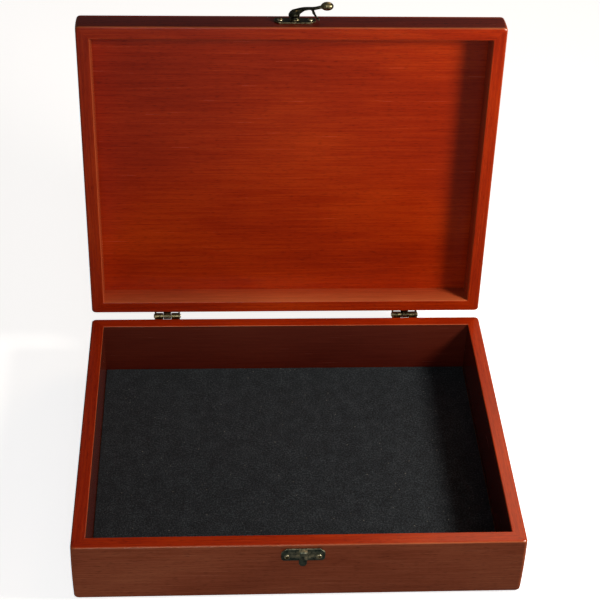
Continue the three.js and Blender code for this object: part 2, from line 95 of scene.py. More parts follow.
def pick(piece, kind, rule):  # enters edit mode with the vertices, edges or faces that a rule picks
    onlyThis(piece)
    bpy.context.tool_settings.mesh_select_mode = [kind == k for k in ("vertex", "edge", "face")]
    mesh = piece.data
    for part in [*mesh.vertices, *mesh.edges, *mesh.polygons]:
        part.select = False
    if kind == "vertex":
        for vertex in mesh.vertices:
            vertex.select = rule(vertex.co)
    elif kind == "edge":
        for edge in mesh.edges:
            edge.select = rule(*[mesh.vertices[i].co for i in edge.vertices])
    else:
        for face in mesh.polygons:
            face.select = rule(face.center, face.normal)
    bpy.ops.object.mode_set(mode="EDIT")


def roundEdges(piece, rule, radius, segments):
    pick(piece, "edge", rule)
    bpy.ops.mesh.bevel(offset=radius, segments=segments, affect="EDGES", clamp_overlap=False,
                       loop_slide=False)
    bpy.ops.object.mode_set(mode="OBJECT")


def slicePiece(piece, point, normal, clear=False):  # adds a cut line, or cuts off past the plane
    pick(piece, "vertex", lambda place: True)
    bpy.ops.mesh.select_all(action="SELECT")
    bpy.ops.mesh.bisect(plane_co=point, plane_no=Vector(normal).normalized(),
                        use_fill=clear, clear_outer=clear)
    bpy.ops.object.mode_set(mode="OBJECT")


def copyOf(piece, name):
    copy = piece.copy()
    copy.data = piece.data.copy()
    copy.name = copy.data.name = name
    bpy.context.scene.collection.objects.link(copy)
    return copy


def remove(piece):
    bpy.data.objects.remove(piece)


def applyModifier(piece, kind, **settings):
    onlyThis(piece)
    modifier = piece.modifiers.new(kind.title(), kind)
    for name, value in settings.items():
        setattr(modifier, name, value)
    bpy.ops.object.modifier_apply(modifier=modifier.name)


def combine(piece, other, operation):  # adds or takes away another closed shape, which is used up
    applyModifier(piece, "BOOLEAN", object=other, operation=operation, solver="EXACT")
    remove(other)


def placeBy(piece, matrix):  # moves a shape with its mesh, so that its object stays at the origin
    onlyThis(piece)
    piece.matrix_world = matrix
    bpy.ops.object.transform_apply(location=True, rotation=True, scale=True)


def shade(piece, angle=32):  # rounds shade smoothly, flats stay flat
    onlyThis(piece)
    bpy.ops.object.shade_smooth_by_angle(angle=math.radians(angle))
    applyModifier(piece, "WEIGHTED_NORMAL", keep_sharp=True, weight=80)


def storeVector(piece, name, rule):  # a vector kept at each vertex, for a material to read
    values = [number for vertex in piece.data.vertices for number in rule(vertex.co)]
    attribute = piece.data.attributes.new(name, "FLOAT_VECTOR", "POINT")
    attribute.data.foreach_set("vector", values)


def storeShare(piece, name, rule):  # a share from 0 to 1 kept at each vertex, for a material to read
    values = [min(1.0, max(0.0, rule(vertex.co, vertex.normal))) for vertex in piece.data.vertices]
    attribute = piece.data.attributes.new(name, "FLOAT", "POINT")
    attribute.data.foreach_set("value", values)


def leanOfSurface(place, normal):  # 0 on a flat side, 1 where an edge is rounded over
    flat, rounded = 0.97, 0.77  # the largest part of a normal there
    return (flat - max(abs(number) for number in normal)) / (flat - rounded)


def finishPiece(piece, body, node, material):
    piece.data.materials.clear()
    piece.data.materials.append(material)
    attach(piece, body)
    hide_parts(node)


# Places from the frame

lidJoint, latchJoint = [next(j for j in frame["joints"] if j["name"] == name)
                        for name in ("lid_hinge", "latch_swing")]
hingeAxis = Vector(lidJoint["pos_m"])
openAngle = math.radians(lidJoint["range_deg"][1])
lidOpened = (Matrix.Translation(hingeAxis) @ Matrix.Rotation(-openAngle, 4, "X")
             @ Matrix.Translation(-hingeAxis))
lidShut = lidOpened.inverted()
asPlaced = Matrix.Identity(4)  # for what rides on the base
latchPivot = lidShut @ Vector(latchJoint["pos_m"])


def shutBox(node):  # lowest and highest corner of a lid node with the lid shut
    places = [lidShut @ vertex.co for vertex in frame["nodes"][node].data.vertices]
    return (Vector([min(p[i] for p in places) for i in range(3)]),
            Vector([max(p[i] for p in places) for i in range(3)]))


# Materials

def addNode(tree, kind, settings=None, values=None, links=None, stops=None):
    node = tree.nodes.new("ShaderNode" + kind)
    for name, value in (settings or {}).items():
        setattr(node, name, value)
    for socket, value in (values or {}).items():
        node.inputs[socket].default_value = value
    for socket, source in (links or {}).items():
        tree.links.new(source, node.inputs[socket])
    if stops:
        ramp = node.color_ramp.elements
        while len(ramp) < len(stops):
            ramp.new(0.5)
        for element, (position, colour) in zip(ramp, stops):
            element.position = position
            element.color = colour
    return node


def newMaterial(name):
    material = bpy.data.materials.new(name)
    material.use_nodes = True
    return material, material.node_tree, material.node_tree.nodes["Principled BSDF"]


# Red-brown stain under satin lacquer on a fine straight-grained wood: the stain gathers in the
# pores as short dark dashes, streaks follow the board, and the edges are paler, partly worn and
# partly a painted highlight along the rounded rims.
woodGrain = {
    "streakLength": 45 * mm, "streakWidth": 1.3 * mm,
    "poreLength": 5 * mm, "poreWidth": 0.5 * mm,  # real pores are 0.2 mm wide, too fine to show
    "cloudSize": 50 * mm, "cloudStretch": 2.5,
    "stainPlaces": (0.34, 0.5, 0.66),  # where in the figure the dark, middle and pale stain stand
    "poreFrom": 0.44, "poreTo": 0.3, "poreShade": 0.36, "poreTint": "6a5a5a",
    "lacquerRoughness": 0.24, "glossRange": (-0.05, 0.07), "shine": 0.42,
    "relief": 0.1, "reliefDepth": 0.1 * mm,
    "insideShade": "827495",  # the tray's inner walls are painted darker: painted shade inside the tray
}


def grainNoise(tree, place, length, width, detail, roughness):  # noise drawn out along the board
    stretch = addNode(tree, "Mapping", values={"Scale": [1 / length, 1 / width, 1 / width]},
                      links={"Vector": place})
    grain = addNode(tree, "TexNoise",
                    values={"Scale": 1.0, "Detail": detail, "Roughness": roughness},
                    links={"Vector": stretch.outputs["Vector"]})
    return grain.outputs["Fac"]


def stainRamp(tree, share, stain):
    stops = [(position, linear(colour)) for position, colour in zip(woodGrain["stainPlaces"], stain)]
    return addNode(tree, "ValToRGB", links={"Fac": share}, stops=stops).outputs["Color"]


def stainedWood(name, stain, edge, face=None):  # each stain is dark, middle and pale
    material, tree, shader = newMaterial(name)

    def attribute(title, output="Fac"):
        return addNode(tree, "Attribute", {"attribute_name": title}).outputs[output]

    def mixed(factor, first, second, blend="MIX"):
        node = addNode(tree, "Mix", {"data_type": "RGBA", "blend_type": blend})
        for socket, value in (("Factor", factor), ("A", first), ("B", second)):
            if isinstance(value, (list, float)):
                node.inputs[socket].default_value = value
            else:
                tree.links.new(value, node.inputs[socket])
        return node.outputs["Result"]

    place = attribute("boardPlace", "Vector")
    look = woodGrain
    streaks = grainNoise(tree, place, look["streakLength"], look["streakWidth"], 4.0, 0.6)
    clouds = grainNoise(tree, place, look["cloudStretch"] * look["cloudSize"], look["cloudSize"],
                        3.0, 0.55)
    figure = addNode(tree, "Mix", {"data_type": "FLOAT"}, {"Factor": 0.5},
                     {"A": streaks, "B": clouds}).outputs["Result"]
    colour = stainRamp(tree, figure, stain)
    # a front board's outer face gets its own colours: on the base a painted sheen, on the lid a painted
    # shade
    if face:
        colour = mixed(attribute("face"), colour, stainRamp(tree, figure, face))
    pores = grainNoise(tree, place, look["poreLength"], look["poreWidth"], 1.0, 0.5)
    poreRange = {"From Min": look["poreFrom"], "From Max": look["poreTo"], "To Max": look["poreShade"]}
    poreMask = addNode(tree, "MapRange", values=poreRange, links={"Value": pores}).outputs["Result"]
    colour = mixed(poreMask, colour, linear(look["poreTint"]), "MULTIPLY")
    # paler edges: wear, and a painted highlight along the rounded rims
    wearAndSheenShare = addNode(tree, "Math", {"operation": "MULTIPLY", "use_clamp": True},
                     links={0: attribute("wearAndSheen"), 1: figure}).outputs["Value"]
    colour = mixed(wearAndSheenShare, colour, linear(edge))
    # the tray's inner walls darkened: painted shade
    colour = mixed(attribute("inside"), colour, linear(look["insideShade"]), "MULTIPLY")
    tree.links.new(colour, shader.inputs["Base Color"])
    smoothest, roughest = [look["lacquerRoughness"] + change for change in look["glossRange"]]
    gloss = addNode(tree, "MapRange", values={"To Min": smoothest, "To Max": roughest},
                    links={"Value": streaks})
    tree.links.new(gloss.outputs["Result"], shader.inputs["Roughness"])
    height = addNode(tree, "Math", {"operation": "SUBTRACT"}, links={0: streaks, 1: poreMask})
    relief = addNode(tree, "Bump", values={"Strength": look["relief"], "Distance": look["reliefDepth"]},
                     links={"Height": height.outputs["Value"]})
    tree.links.new(relief.outputs["Normal"], shader.inputs["Normal"])
    shader.inputs["IOR"].default_value = 1.5
    shader.inputs["Specular IOR Level"].default_value = look["shine"]
    return material


redStain = ("911e01", "aa2a01", "c03a03")
# the last colour is the paler edge: wear and painted highlight
sideWood = stainedWood("redStainedWoodSatinLacquer", redStain, "e0804c")
panelWood = stainedWood("redStainedPanelSatinLacquer", redStain, "c8602c")
# the base's front board is the red wood; its outer face is greyer and browner: a painted sheen, the
# pale floor's reflection painted over the stain
frontWood = stainedWood("redWoodSatinLacquerPaintedSheenFace", redStain, "e0804c",
                        face=("984527", "ae5635", "c06844"))
# the lid's front board is the same red wood; its outer face, facing up with the lid open, is painted
# dark: painted shade
lidFrontWood = stainedWood("redWoodSatinLacquerPaintedShadeFace", redStain, "e0804c",
                           face=("5a1206", "6c1a0a", "7e220e"))


# Birch plywood face, sanded and unfinished: pale, with faint long figure and no gloss.
def bareBirch():
    material, tree, shader = newMaterial("sandedBirchPlywood")
    place = addNode(tree, "TexCoord").outputs["Object"]
    look = {"figureLength": 70 * mm, "figureWidth": 3 * mm}
    figureScale = [1 / look["figureLength"], 1 / look["figureWidth"], 1 / look["figureWidth"]]
    figurePlace = addNode(tree, "Mapping", values={"Scale": figureScale}, links={"Vector": place})
    figure = addNode(tree, "TexNoise", values={"Scale": 1.0, "Detail": 5.0, "Roughness": 0.6},
                     links={"Vector": figurePlace.outputs["Vector"]})
    colour = addNode(tree, "ValToRGB", links={"Fac": figure.outputs["Fac"]}, stops=[
        (0.35, linear("8a6038")), (0.65, linear("b48a5a"))])
    relief = addNode(tree, "Bump", values={"Strength": 0.2, "Distance": 0.1 * mm},
                     links={"Height": figure.outputs["Fac"]})
    tree.links.new(colour.outputs["Color"], shader.inputs["Base Color"])
    tree.links.new(relief.outputs["Normal"], shader.inputs["Normal"])
    shader.inputs["Roughness"].default_value = 0.75
    return material


# Pressed black felt: matted fibres give a soft uneven black with a faint cool sheen, and pale
# lint has settled in it.
def blackFelt():
    look = {"fibre": 1.1 * mm,  # real fibres are far finer, too fine to show
            "mat": 9 * mm, "matShare": 0.18, "lintSpacing": 7 * mm, "lintSize": 0.075}
    material, tree, shader = newMaterial("pressedBlackFelt")
    place = addNode(tree, "TexCoord").outputs["Object"]
    fibres = addNode(tree, "TexNoise",
                     values={"Scale": 1 / look["fibre"], "Detail": 3.0, "Roughness": 0.7},
                     links={"Vector": place})
    mats = addNode(tree, "TexNoise",
                   values={"Scale": 1 / look["mat"], "Detail": 3.0, "Roughness": 0.6},
                   links={"Vector": place})
    both = addNode(tree, "Mix", {"data_type": "FLOAT"}, {"Factor": look["matShare"]},
                   {"A": fibres.outputs["Fac"], "B": mats.outputs["Fac"]})
    black = addNode(tree, "ValToRGB", links={"Fac": both.outputs["Result"]}, stops=[
        (0.36, linear("101316")), (0.5, linear("21262b")), (0.66, linear("434a4f"))])
    lint = addNode(tree, "TexVoronoi", values={"Scale": 1 / look["lintSpacing"], "Randomness": 1.0},
                   links={"Vector": place})
    lintMask = addNode(tree, "ValToRGB", links={"Fac": lint.outputs["Distance"]}, stops=[
        (look["lintSize"] * 0.6, linear("ffffff")), (look["lintSize"], linear("000000"))])
    lintAmount = addNode(tree, "Math", {"operation": "MULTIPLY"}, links={
        0: lintMask.outputs["Color"], 1: mats.outputs["Fac"]})
    colour = addNode(tree, "Mix", {"data_type": "RGBA"}, {"B": linear("8e8c84")},
                     {"Factor": lintAmount.outputs["Value"], "A": black.outputs["Color"]})
    relief = addNode(tree, "Bump", values={"Strength": 0.6, "Distance": 0.3 * mm},
                     links={"Height": both.outputs["Result"]})
    tree.links.new(colour.outputs["Result"], shader.inputs["Base Color"])
    tree.links.new(relief.outputs["Normal"], shader.inputs["Normal"])
    shader.inputs["Roughness"].default_value = 0.95
    shader.inputs["Specular IOR Level"].default_value = 0.15
    shader.inputs["Sheen Weight"].default_value = 0.12
    shader.inputs["Sheen Roughness"].default_value = 0.5
    return material


# Brass with a chemical antique finish: almost black olive in the hollows, worn through to pale
# brass on the edges, with a soft gloss that varies in small patches; where a highlight is painted
# in, the same pale brass shows.
def agedBrass(name, dark, middle, bare, roughness):
    material, tree, shader = newMaterial(name)
    place = addNode(tree, "TexCoord").outputs["Object"]
    wearAndSheen = addNode(tree, "Attribute", {"attribute_name": "wearAndSheen"}).outputs["Fac"]
    patchSize = 2.6 * mm
    patches = addNode(tree, "TexNoise",
                      values={"Scale": 1 / patchSize, "Detail": 4.0, "Roughness": 0.65},
                      links={"Vector": place})
    patina = addNode(tree, "ValToRGB", links={"Fac": patches.outputs["Fac"]}, stops=[
        (0.36, linear(dark)), (0.66, linear(middle))])
    wearAndSheenShare = addNode(tree, "MapRange", values={"From Min": 0.35, "From Max": 0.6},
                     links={"Value": patches.outputs["Fac"]})
    # bare brass where worn, and where a highlight is painted
    amount = addNode(tree, "Math", {"operation": "MULTIPLY", "use_clamp": True},
                     links={0: wearAndSheen, 1: wearAndSheenShare.outputs["Result"]})
    colour = addNode(tree, "Mix", {"data_type": "RGBA"}, {"B": linear(bare)},
                     {"Factor": amount.outputs["Value"], "A": patina.outputs["Color"]})
    gloss = addNode(tree, "MapRange",
                    values={"To Min": roughness - 0.1, "To Max": roughness + 0.12},
                    links={"Value": patches.outputs["Fac"]})
    relief = addNode(tree, "Bump", values={"Strength": 0.15, "Distance": 0.08 * mm},
                     links={"Height": patches.outputs["Fac"]})
    tree.links.new(colour.outputs["Result"], shader.inputs["Base Color"])
    tree.links.new(gloss.outputs["Result"], shader.inputs["Roughness"])
    tree.links.new(relief.outputs["Normal"], shader.inputs["Normal"])
    shader.inputs["Metallic"].default_value = 1.0
    return material


birch = bareBirch()
felt = blackFelt()
antiqueBrass = agedBrass("antiquedBrassOliveBlack", "24261f", "565442", "f0e0aa", 0.3)
plateBrass = agedBrass("antiquedBrassGreenGrey", "4c5a52", "82907f", "fff0c4", 0.5)
brightBrass = agedBrass("polishedBrassScrew", "4a4128", "b09c62", "fff6d4", 0.42)
print("materials made")


# Frames of four mitred boards

boards = {
    "rows": 8,  # cut lines up each face, for its bow
    "proudest": 0.4,  # share of the height, from the far edge, at which the face stands out most
    "rimSetBack": 0.5 * mm, "farSetBack": 0.2 * mm,
    "cornerRadius": 2.5 * mm, "farRadius": 2.65 * mm,
    "rimRadius": 1.15 * mm, "innerRadius": 0.7 * mm,
    "mitreGap": 0.04 * mm, "rebateSpace": 0.1 * mm,
    "grainShift": Vector((0.31, 0.17, 0.23)),  # from one board to the next, so that no two are alike
}
sides = [  # name, which way it faces, which way its grain runs
    ("front", Vector((0, -1, 0)), Vector((1, 0, 0))),
    ("right", Vector((1, 0, 0)), Vector((0, 1, 0))),
    ("back", Vector((0, 1, 0)), Vector((1, 0, 0))),
    ("left", Vector((-1, 0, 0)), Vector((0, 1, 0))),
]


def setBack(share):  # how far the face stands behind its proudest line, at a share of its height
    peak = boards["proudest"]
    if share > peak:
        return boards["rimSetBack"] * ((share - peak) / (1 - peak)) ** 2
    return boards["farSetBack"] * ((peak - share) / peak) ** 2


def boardRing(name, outer, inner, rimZ, farZ, rebateWidth, rebateDepth):
    ring = block(name, (-outer.x, -outer.y, min(rimZ, farZ)), (outer.x, outer.y, max(rimZ, farZ)))
    rows = boards["rows"]
    heights = [farZ + (rimZ - farZ) * i / rows for i in range(rows + 1)]
    for z in heights[1:-1]:
        slicePiece(ring, (0, 0, z), (0, 0, 1))
    for i, z in enumerate(heights):  # the bow
        step = setBack(i / rows)
        pick(ring, "vertex", lambda place: abs(place.z - z) < tiny)
        bpy.ops.transform.resize(value=((outer.x - step) / outer.x, (outer.y - step) / outer.y, 1),
                                 center_override=(0, 0, 0))
    towardsRim = 1 if rimZ > farZ else -1
    pick(ring, "face", lambda centre, normal: abs(centre.z - rimZ) < tiny)
    bpy.ops.mesh.inset(thickness=outer.x - boards["rimSetBack"] - inner.x)
    bpy.ops.mesh.delete(type="FACE")
    pick(ring, "face", lambda centre, normal: abs(centre.z - farZ) < tiny)
    bpy.ops.mesh.inset(thickness=outer.x - boards["farSetBack"] - inner.x - rebateWidth)
    bpy.ops.mesh.extrude_region_move(
        TRANSFORM_OT_translate={"value": (0, 0, towardsRim * rebateDepth)})
    bpy.ops.mesh.inset(thickness=rebateWidth)
    bpy.ops.mesh.delete(type="FACE")
    shelfZ = farZ + towardsRim * rebateDepth

    def onOpening(place):
        return (abs(place.x) < inner.x + tiny and abs(place.y) < inner.y + tiny
                and min(abs(place.z - rimZ), abs(place.z - shelfZ)) < tiny)

    pick(ring, "edge", lambda a, b: onOpening(a) and onOpening(b))
    bpy.ops.mesh.bridge_edge_loops()
    bpy.ops.object.mode_set(mode="OBJECT")

    def onOutside(place):
        margin = rebateWidth + 1 * mm
        return abs(place.x) > inner.x + margin or abs(place.y) > inner.y + margin

    def level(a, b, z):
        return abs(a.z - z) < tiny and abs(b.z - z) < tiny

    def atOneCorner(a, b):
        return (a.xy - b.xy).length < 2 * mm

    def bothOutside(a, b):
        return onOutside(a) and onOutside(b)

    def bothInside(a, b):
        return not onOutside(a) and not onOutside(b)

    roundEdges(ring, lambda a, b: level(a, b, farZ) and bothOutside(a, b), boards["farRadius"], 6)
    roundEdges(ring, lambda a, b: level(a, b, rimZ) and bothOutside(a, b), boards["rimRadius"], 4)
    roundEdges(ring, lambda a, b: level(a, b, rimZ) and bothInside(a, b), boards["innerRadius"], 3)
    roundEdges(ring, lambda a, b: atOneCorner(a, b) and bothOutside(a, b), boards["cornerRadius"], 6)
    # rounded edges, painted paler: wear and a painted highlight
    storeShare(ring, "wearAndSheen", leanOfSurface)
    return ring


def onInside(place, outward, inner):  # on a tray wall's inner face, below the rounding of its rim
    innerFace = abs(outward.x) * inner.x + abs(outward.y) * inner.y
    belowRounding = place.z < baseRim - boards["innerRadius"] + tiny
    return place.dot(outward) < innerFace + tiny and belowRounding


def boardsFromRing(ring, prefix, body, inner, woods, place):
    for number, (side, outward, along) in enumerate(sides):
        board = copyOf(ring, f"{prefix}{side.title()}Board")
        for sign in (-1, 1):
            end = sign * along
            corner = Vector((inner.x * (end.x + outward.x), inner.y * (end.y + outward.y), 0))
            slicePiece(board, corner - end * boards["mitreGap"] / 2, end - outward, clear=True)
        start = boards["grainShift"] * (number + (0 if prefix == "base" else len(sides)))
        if prefix == "base":
            # marks the tray's inner walls for the painted shade
            storeShare(board, "inside", lambda place, normal: onInside(place, outward, inner))
        if side == "front":
            # marks the front board's outer face, where the painted sheen (base) and the painted shade
            # (lid) go
            storeShare(board, "face", lambda place, normal: normal.dot(outward) > 0.6)
        storeVector(board, "boardPlace", lambda p: Vector((p.dot(along), p.dot(outward), p.z)) + start)
        shade(board)
        placeBy(board, place)
        slot, material = woods[side]
        finishPiece(board, body, f"{prefix}_{side}_board", material)
    remove(ring)


rightLow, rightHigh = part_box("base_right_board")
frontLow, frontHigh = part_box("base_front_board")
baseOuter = Vector((rightHigh.x, -frontLow.y, 0))
baseInner = Vector((rightLow.x, -frontHigh.y, 0))
baseRim = frontHigh.z
floorLow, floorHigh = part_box("base_floor")
baseRebate = {"rebateWidth": floorHigh.x - baseInner.x + boards["rebateSpace"],
              "rebateDepth": floorHigh.z + boards["rebateSpace"]}
baseRing = boardRing("baseRing", baseOuter, baseInner, baseRim, 0, **baseRebate)
plainSides = {side: ("side_wood", sideWood) for side in ("right", "back", "left")}
baseWoods = {**plainSides, "front": ("front_wood", frontWood)}
boardsFromRing(baseRing, "base", "base", baseInner, baseWoods, asPlaced)

lidLow, lidHigh = shutBox("lid_front_board")
panelLow, panelHigh = shutBox("lid_panel")
lidRebate = {"rebateWidth": panelHigh.x - baseInner.x + boards["rebateSpace"],
             "rebateDepth": lidHigh.z - panelLow.z + boards["rebateSpace"]}
lidRing = boardRing("lidRing", baseOuter, baseInner, lidLow.z, lidHigh.z, **lidRebate)
lidWoods = {**plainSides, "front": ("front_wood", lidFrontWood)}
boardsFromRing(lidRing, "lid", "lid", baseInner, lidWoods, lidOpened)
print("eight mitred boards made")


# Lid panel, floor and felt

flatBoards = {"lidPanelEdge": 0.3 * mm, "floorEdge": 0.4 * mm}


def panelPiece(name, low, high, edge):  # a flat board with its edges eased
    panel = block(name, low, high)
    roundEdges(panel, lambda a, b: True, edge, 2)
    return panel


lidPanel = panelPiece("lidPanel", panelLow, panelHigh, flatBoards["lidPanelEdge"])
panelShift = Vector((2.7, 1.9, 1.3))  # a part of the grain that no side board shows
storeVector(lidPanel, "boardPlace", lambda p: p + panelShift)
# the panel's eased edges are painted paler the same way: wear and painted highlight
storeShare(lidPanel, "wearAndSheen", leanOfSurface)
shade(lidPanel)
placeBy(lidPanel, lidOpened)
finishPiece(lidPanel, "lid", "lid_panel", panelWood)

baseFloor = panelPiece("baseFloor", floorLow, floorHigh, flatBoards["floorEdge"])
shade(baseFloor)
finishPiece(baseFloor, "base", "base_floor", birch)

feltSheet = {"step": 4 * mm, "ripple": 0.12 * mm, "rippleSize": 26 * mm, "edgeRadius": 0.5 * mm}


def floorFelt():
    low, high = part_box("floor_felt")
    size = high - low
    middle = middleOf(low, high)
    middle.z = high.z - 2 * feltSheet["ripple"]
    bpy.ops.mesh.primitive_grid_add(
        x_subdivisions=round(size.x / feltSheet["step"]),
        y_subdivisions=round(size.y / feltSheet["step"]),
        size=1, location=middle)
    sheet = newest("floorFelt", (size.x, size.y, 1))
    for vertex in sheet.data.vertices:  # pressed felt is never quite flat
        vertex.co.z += feltSheet["ripple"] * noise.noise(vertex.co / feltSheet["rippleSize"])
    applyModifier(sheet, "SOLIDIFY", thickness=size.z - 3 * feltSheet["ripple"], offset=-1)
    bpy.ops.object.select_all(action="DESELECT")
    applyModifier(sheet, "BEVEL", width=feltSheet["edgeRadius"], segments=3, limit_method="ANGLE",
                  angle_limit=math.radians(60))
    shade(sheet, 60)
    return sheet, size


feltPiece, feltSize = floorFelt()
finishPiece(feltPiece, "base", "floor_felt", felt)
print("panel, floor and felt made")


# Screws

screw = {"sides": 28, "dome": 1 * mm, "shank": 0.8 * mm, "length": 7 * mm, "point": 1.6 * mm,
         "slotLength": 2.5 * mm, "slotWidth": 0.75 * mm, "slotDepth": 0.75 * mm,
         "sheenFrom": 0.45, "sheenOver": 0.25}  # shares of the head's radius: the ring round the head is pale, partly worn, partly a painted highlight


def makeScrew():  # seat on z = 0, shank downwards
    low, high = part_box("catch_screw_left")
    radius = (high.x - low.x) / 2
    dome = screw["dome"]
    bpy.ops.mesh.primitive_uv_sphere_add(segments=screw["sides"], ring_count=16, radius=radius)
    head = newest("screwPattern")
    slicePiece(head, (0, 0, 0), (0, 0, -1), clear=True)
    pick(head, "vertex", lambda place: True)
    bpy.ops.transform.resize(value=(1, 1, dome / radius), center_override=(0, 0, 0))
    pick(head, "face", lambda centre, normal: normal.z < -0.99)
    bpy.ops.mesh.inset(thickness=radius - screw["shank"])
    bpy.ops.mesh.extrude_region_move(
        TRANSFORM_OT_translate={"value": (0, 0, screw["point"] - screw["length"])})
    bpy.ops.mesh.extrude_region_move(TRANSFORM_OT_translate={"value": (0, 0, -screw["point"])})
    bpy.ops.transform.resize(value=(0.15, 0.15, 1))
    bpy.ops.object.mode_set(mode="OBJECT")
    slotSize = (screw["slotLength"], screw["slotWidth"])
    for sizeX, sizeY in (slotSize, slotSize[::-1]):
        blade = block("slotBlade", (-sizeX / 2, -sizeY / 2, dome - screw["slotDepth"]),
                      (sizeX / 2, sizeY / 2, 2 * dome))
        combine(head, blade, "DIFFERENCE")

    # a pale ring round the head: wear, and a painted highlight
    def wearAndSheenShare(place, normal):
        return (place.xy.length / radius - screw["sheenFrom"]) / screw["sheenOver"]

    storeShare(head, "wearAndSheen", wearAndSheenShare)
    shade(head, 40)
    return head


screwPattern = makeScrew()


def placeScrew(node, name, body, seat, out, turn, place):  # out: where the head points, lid shut
    piece = copyOf(screwPattern, name)
    stand = Matrix.Translation(seat) @ out.to_track_quat("Z", "Y").to_matrix().to_4x4()
    placeBy(piece, place @ stand @ Matrix.Rotation(turn, 4, "Z"))
    finishPiece(piece, body, node, brightBrass)


def seatOf(low, high, outSign):  # where a head sits, from the box of its screw, which lies along Y
    seat = middleOf(low, high)
    seat.y = (low.y if outSign < 0 else high.y) - outSign * screw["dome"]
    return seat


frontOut, backOut = Vector((0, -1, 0)), Vector((0, 1, 0))
for number, side in enumerate(("left", "right")):  # the slots stand at odd angles, as screwed in
    node, turn = f"catch_screw_{side}", 0.5 + 0.9 * number
    placeScrew(node, f"catchScrew{side.title()}", "base",
               seatOf(*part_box(node), -1), frontOut, turn, asPlaced)
    node, turn = f"latch_screw_{side}", 0.2 + 0.7 * number
    placeScrew(node, f"latchScrew{side.title()}", "lid",
               seatOf(*shutBox(node), -1), frontOut, turn, lidOpened)
    for which in (1, 2):
        turn = 0.4 * which + 0.9 * number
        node = f"base_hinge_screw_{side}_{which}"
        placeScrew(node, f"baseHingeScrew{side.title()}{which}", "base",
                   seatOf(*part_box(node), 1), backOut, turn, asPlaced)
        node = f"lid_hinge_screw_{side}_{which}"
        placeScrew(node, f"lidHingeScrew{side.title()}{which}", "lid",
                   seatOf(*shutBox(node), 1), backOut, turn + 0.5, lidOpened)
remove(screwPattern)
print("screws made")


# Latch plate and catch plate: flat on the front, facing -Y

fittings = {"clip": 3.2 * mm, "cornerRadius": 2.4 * mm, "edge": 0.28 * mm, "thickness": 0.9 * mm,
            "standOff": 0.1 * mm}


def fittingPlate(name, low, high, clippedUp):  # two corners clipped, two rounded, front edge eased
    face = low.y
    plate = block(name, low, high)

    def atCorner(a, b, top):
        z = high.z if top else low.z
        return abs(a.x - b.x) < tiny and abs(a.z - z) < tiny and abs(b.z - z) < tiny

    roundEdges(plate, lambda a, b: atCorner(a, b, clippedUp), fittings["clip"], 1)
    roundEdges(plate, lambda a, b: atCorner(a, b, not clippedUp), fittings["cornerRadius"], 6)
    roundEdges(plate, lambda a, b: abs(a.y - face) < tiny and abs(b.y - face) < tiny,
               fittings["edge"], 3)
    return plate


def latchPlate():
    plate = fittingPlate("latchPlate", *shutBox("latch_plate"), False)
    storeShare(plate, "wearAndSheen", leanOfSurface)
    shade(plate)
    placeBy(plate, lidOpened)
    finishPiece(plate, "lid", "latch_plate", antiqueBrass)


keeper = {
    "width": 5.3 * mm,  # leaves room for the arm's tooth, which passes on the right
    "top": 0.3 * mm, "bottom": 7.4 * mm, "reach": 3.8 * mm, "wall": 0.85 * mm,
    "plateHeight": 10.6 * mm, "round": 0.9 * mm, "insideRound": 0.4 * mm,
    "inset": 0.05 * mm,  # keeps the tongue's faces off the plate's
    "tongueOverlap": 2 * mm, "tongueEdge": 0.2 * mm,
    "sheenFrom": 0.3,  # share of the half width: from here to its right end the strip is painted bright, a painted highlight
    "sheenStep": 0.3 * mm,
}


def catchPlate():
    low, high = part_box("catch_plate")
    wood = high.y  # the back of the plate
    front = wood - fittings["thickness"]
    centreX = (low.x + high.x) / 2
    plateLow = Vector((low.x, front, high.z - keeper["plateHeight"]))
    plate = fittingPlate("catchPlate", plateLow, high, True)
    half = keeper["width"] / 2

    inset = keeper["inset"]
    tongue = block("tongue", (centreX - half, front + inset, low.z),
                   (centreX + half, wood - inset, plateLow.z + keeper["tongueOverlap"]))

    def atFoot(a, b):
        return abs(a.x - b.x) < tiny and a.z < low.z + tiny and b.z < low.z + tiny

    roundEdges(tongue, atFoot, half - inset, 8)
    roundEdges(tongue, lambda a, b: max(a.y, b.y) < front + 2 * inset, keeper["tongueEdge"], 2)
    combine(plate, tongue, "UNION")

    topZ, bottomZ = high.z - keeper["top"], high.z - keeper["bottom"]
    outY = wood + fittings["standOff"] - keeper["reach"]
    strip = block("keeperStrip", (centreX - half, outY, bottomZ),
                  (centreX + half, wood - 2 * inset, topZ))
    # cut lines where the keeper's painted highlight starts
    sheenFrom = centreX + keeper["sheenFrom"] * half
    for x in (sheenFrom - keeper["sheenStep"], sheenFrom):
        slicePiece(strip, (x, 0, 0), (1, 0, 0))

    def outermost(a, b, y):
        return abs(a.z - b.z) < tiny and max(a.y, b.y) < y + tiny

    roundEdges(strip, lambda a, b: outermost(a, b, outY), keeper["round"], 5)
    wall = keeper["wall"]
    opening = block("keeperOpening", (centreX - 2 * half, outY + wall, bottomZ + wall),
                    (centreX + 2 * half, front, topZ - wall))
    roundEdges(opening, lambda a, b: outermost(a, b, outY + wall), keeper["insideRound"], 4)
    combine(strip, opening, "DIFFERENCE")
    combine(plate, strip, "UNION")

    # the keeper's right part painted bright as a painted highlight, the rest of it a little paler
    def wearAndSheenShare(place, normal):
        if place.y < front - 0.2 * mm:  # on the keeper
            return 1 if place.x > sheenFrom - 0.1 * mm else 0.25
        return 0.5 * leanOfSurface(place, normal)

    storeShare(plate, "wearAndSheen", wearAndSheenShare)
    shade(plate)
    finishPiece(plate, "base", "catch_plate", plateBrass)


latchPlate()
catchPlate()


# Rivet and latch arm, modelled with the pivot at the origin and Z out of the wood

outOfFront = Matrix.Rotation(math.radians(90), 4, "X")  # Z becomes -Y, Y becomes Z
armPlace = lidOpened @ Matrix.Translation(latchPivot) @ outOfFront

